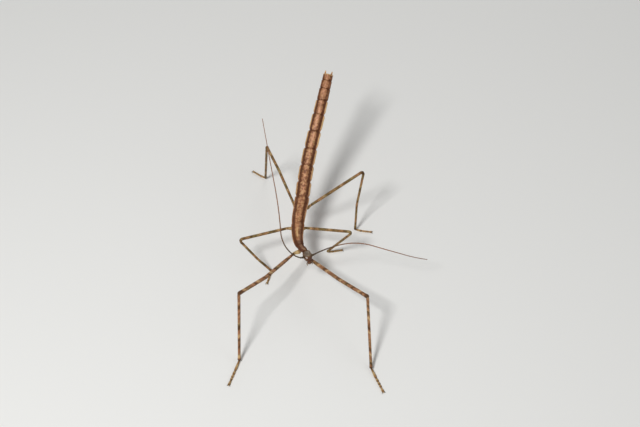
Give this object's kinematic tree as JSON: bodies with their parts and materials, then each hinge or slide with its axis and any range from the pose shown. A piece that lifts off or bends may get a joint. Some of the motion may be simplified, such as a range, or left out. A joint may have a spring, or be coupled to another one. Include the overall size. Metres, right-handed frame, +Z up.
{
  "type": "stick insect",
  "caption": "Long thin brown wingless insect standing on bent stilt-like legs, its ringed abdomen raised behind it and thread-like feelers swept out from its head.",
  "frame": {"origin": "the floor under the middle of the model's box, feelers and claws included", "axes": "+Z up, +Y back from the head towards the raised tail, +X the insect's left side"},
  "size_m": [0.08, 0.128, 0.0468],
  "materials": {
    "body_shell": "dull pinkish brown cuticle with darker bands and pale side edges",
    "head_shell": "dull grey-brown cuticle with dark red-brown marks",
    "leg_shell": "dull tan cuticle, mottled with brown and cream",
    "feeler": "dull brown, finely ringed",
    "eye": "dark glossy compound eye"
  },
  "bodies": {
    "root": {"abdomen_02": "body_shell", "abdomen_03": "body_shell", "abdomen_04": "body_shell", "abdomen_05": "body_shell", "abdomen_06": "body_shell", "abdomen_07": "body_shell", "abdomen_08": "body_shell", "abdomen_09": "body_shell", "abdomen_10": "body_shell", "antenna_left_base": "feeler", "antenna_left_middle": "feeler", "antenna_left_tip": "feeler", "antenna_right_base": "feeler", "antenna_right_middle": "feeler", "antenna_right_tip": "feeler", "cercus_left": "body_shell", "cercus_right": "body_shell", "eye_left": "eye", "eye_right": "eye", "front_coxa_left": "leg_shell", "front_coxa_right": "leg_shell", "front_femur_left": "leg_shell", "front_femur_right": "leg_shell", "front_tarsus_left": "leg_shell", "front_tarsus_right": "leg_shell", "front_tibia_left": "leg_shell", "front_tibia_right": "leg_shell", "head": "head_shell", "hind_coxa_left": "leg_shell", "hind_coxa_right": "leg_shell", "hind_femur_left": "leg_shell", "hind_femur_right": "leg_shell", "hind_tarsus_left": "leg_shell", "hind_tarsus_right": "leg_shell", "hind_tibia_left": "leg_shell", "hind_tibia_right": "leg_shell", "labium": "head_shell", "labrum": "head_shell", "mandible_left": "head_shell", "mandible_right": "head_shell", "mesothorax": "body_shell", "metathorax": "body_shell", "middle_coxa_left": "leg_shell", "middle_coxa_right": "leg_shell", "middle_femur_left": "leg_shell", "middle_femur_right": "leg_shell", "middle_tarsus_left": "leg_shell", "middle_tarsus_right": "leg_shell", "middle_tibia_left": "leg_shell", "middle_tibia_right": "leg_shell", "palp_left": "head_shell", "palp_right": "head_shell", "prothorax": "body_shell"}
  },
  "joints": []
}
